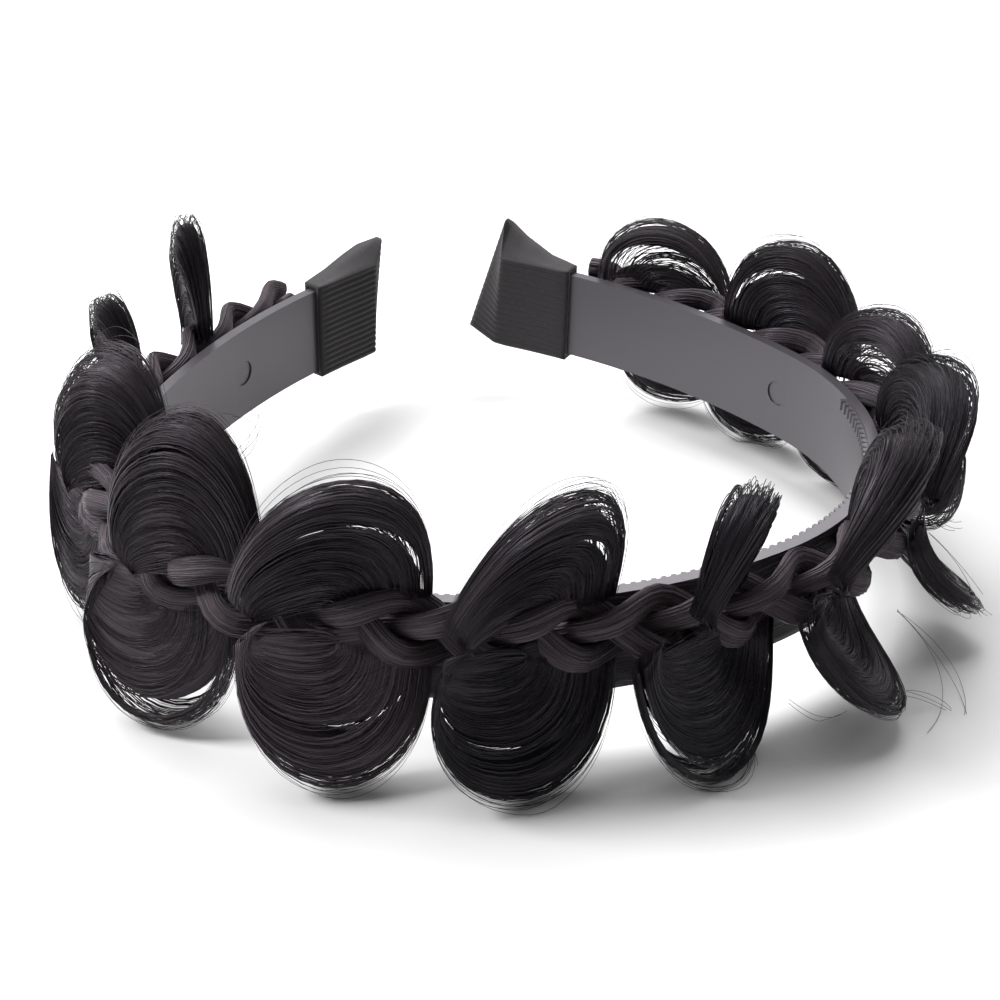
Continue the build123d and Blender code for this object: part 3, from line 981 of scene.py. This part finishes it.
def add_camera(settings):
    """The camera, turned and placed as it was for the photo."""
    yaw_cos, yaw_sin = cos(VIEW_YAW), sin(VIEW_YAW)
    pitch_cos, pitch_sin = cos(VIEW_PITCH), sin(VIEW_PITCH)
    forward = Vector((yaw_sin * pitch_cos, yaw_cos * pitch_cos, -pitch_sin))
    right = Vector((yaw_cos, -yaw_sin, 0))
    up = Vector((yaw_sin * pitch_sin, yaw_cos * pitch_sin, pitch_cos))
    spot = Vector(VIEW_TARGET) + VIEW_OFFSET[0] * right + VIEW_OFFSET[1] * up - VIEW_DISTANCE * forward
    turned_right = cos(VIEW_ROLL) * right - sin(VIEW_ROLL) * up
    turned_up = sin(VIEW_ROLL) * right + cos(VIEW_ROLL) * up
    camera = bpy.data.objects.new("camera", bpy.data.cameras.new("camera"))
    camera.data.lens = settings.lens
    camera.data.clip_start = 0.01
    camera.data.clip_end = 20
    axes = Matrix((turned_right, turned_up, -forward)).transposed().to_4x4()
    camera.matrix_world = Matrix.Translation(spot * MM + Vector(band_origin())) @ axes
    bpy.context.scene.collection.objects.link(camera)
    bpy.context.scene.camera = camera


def add_softbox(name, spot, aim, size, power):
    """A rectangular light at a spot, facing its aim."""
    light = bpy.data.lights.new(name, "AREA")
    light.shape = "RECTANGLE"
    light.size, light.size_y = size
    light.energy = power
    lamp = bpy.data.objects.new(name, light)
    lamp.location = spot
    lamp.rotation_euler = (Vector(aim) - Vector(spot)).to_track_quat("-Z", "Y").to_euler()
    bpy.context.scene.collection.objects.link(lamp)


class HEADBAND_OT_stage(bpy.types.Operator):
    """Sets out the pale floor, the softboxes and the camera"""

    bl_idname = "headband.stage"
    bl_label = "Add Stage"

    def execute(self, context):
        settings = context.scene.headband_stage
        bpy.ops.mesh.primitive_plane_add(size=FLOOR_SIZE, location=(0, 0, FLOOR_LEVEL))
        floor = context.object
        floor.name = "floor"
        material, _, _, shader = node_tree("pale_floor")
        shader.inputs["Base Color"].default_value = (*settings.floor_color, 1.0)
        shader.inputs["Roughness"].default_value = 0.8
        shader.inputs["Specular IOR Level"].default_value = 0.1
        floor.data.materials.append(material)
        world = bpy.data.worlds.new("surroundings")
        world.use_nodes = True
        world.node_tree.nodes["Background"].inputs["Color"].default_value = (1.0, 1.0, 1.0, 1.0)
        world.node_tree.nodes["Background"].inputs["Strength"].default_value = settings.sky_strength
        context.scene.world = world
        for name, spot, aim, size, power in SOFTBOXES:
            add_softbox(name, spot, aim, size, getattr(settings, power))
        add_camera(settings)
        context.scene.view_settings.view_transform = "Standard"
        return {"FINISHED"}


class HEADBAND_PT_sidebar(bpy.types.Panel):
    """The headband's pieces and their settings"""

    bl_idname = "HEADBAND_PT_sidebar"
    bl_label = "Braided Headband"
    bl_space_type = "VIEW_3D"
    bl_region_type = "UI"
    bl_category = "Headband"

    def draw(self, context):
        for title, group, operators in PANEL_ROWS:
            box = self.layout.box()
            box.label(text=title)
            settings = getattr(context.scene, group)
            for name in settings.__annotations__:
                box.prop(settings, name)
            for operator in operators:
                box.operator(operator.bl_idname)


PANEL_ROWS = (
    ("Hoop", "headband_hoop", (HEADBAND_OT_hoop,)),
    ("Ribbon", "headband_ribbon", (HEADBAND_OT_ribbons,)),
    ("Hair", "headband_hair", (HEADBAND_OT_braid, HEADBAND_OT_upper_loops, HEADBAND_OT_lower_loops,
                               HEADBAND_OT_wisps)),
    ("Stage", "headband_stage", (HEADBAND_OT_stage,)),
)
SETTINGS = {
    "headband_hoop": HoopSettings,
    "headband_ribbon": RibbonSettings,
    "headband_hair": HairSettings,
    "headband_stage": StageSettings,
}
OPERATORS = (
    HEADBAND_OT_hoop,
    HEADBAND_OT_ribbons,
    HEADBAND_OT_braid,
    HEADBAND_OT_upper_loops,
    HEADBAND_OT_lower_loops,
    HEADBAND_OT_wisps,
    HEADBAND_OT_stage,
)


def register():
    for group in (*SETTINGS.values(), *OPERATORS, HEADBAND_PT_sidebar):
        bpy.utils.register_class(group)
    for name, group in SETTINGS.items():
        setattr(bpy.types.Scene, name, PointerProperty(type=group))


def unregister():
    for name in SETTINGS:
        delattr(bpy.types.Scene, name)
    for group in (HEADBAND_PT_sidebar, *reversed(OPERATORS), *SETTINGS.values()):
        bpy.utils.unregister_class(group)


def main():
    register()
    bpy.ops.headband.hoop()
    bpy.ops.headband.ribbons()
    bpy.ops.headband.braid()
    bpy.ops.headband.upper_loops()
    bpy.ops.headband.lower_loops()
    bpy.ops.headband.wisps()
    bpy.ops.headband.stage()


if __name__ == "__main__":
    main()
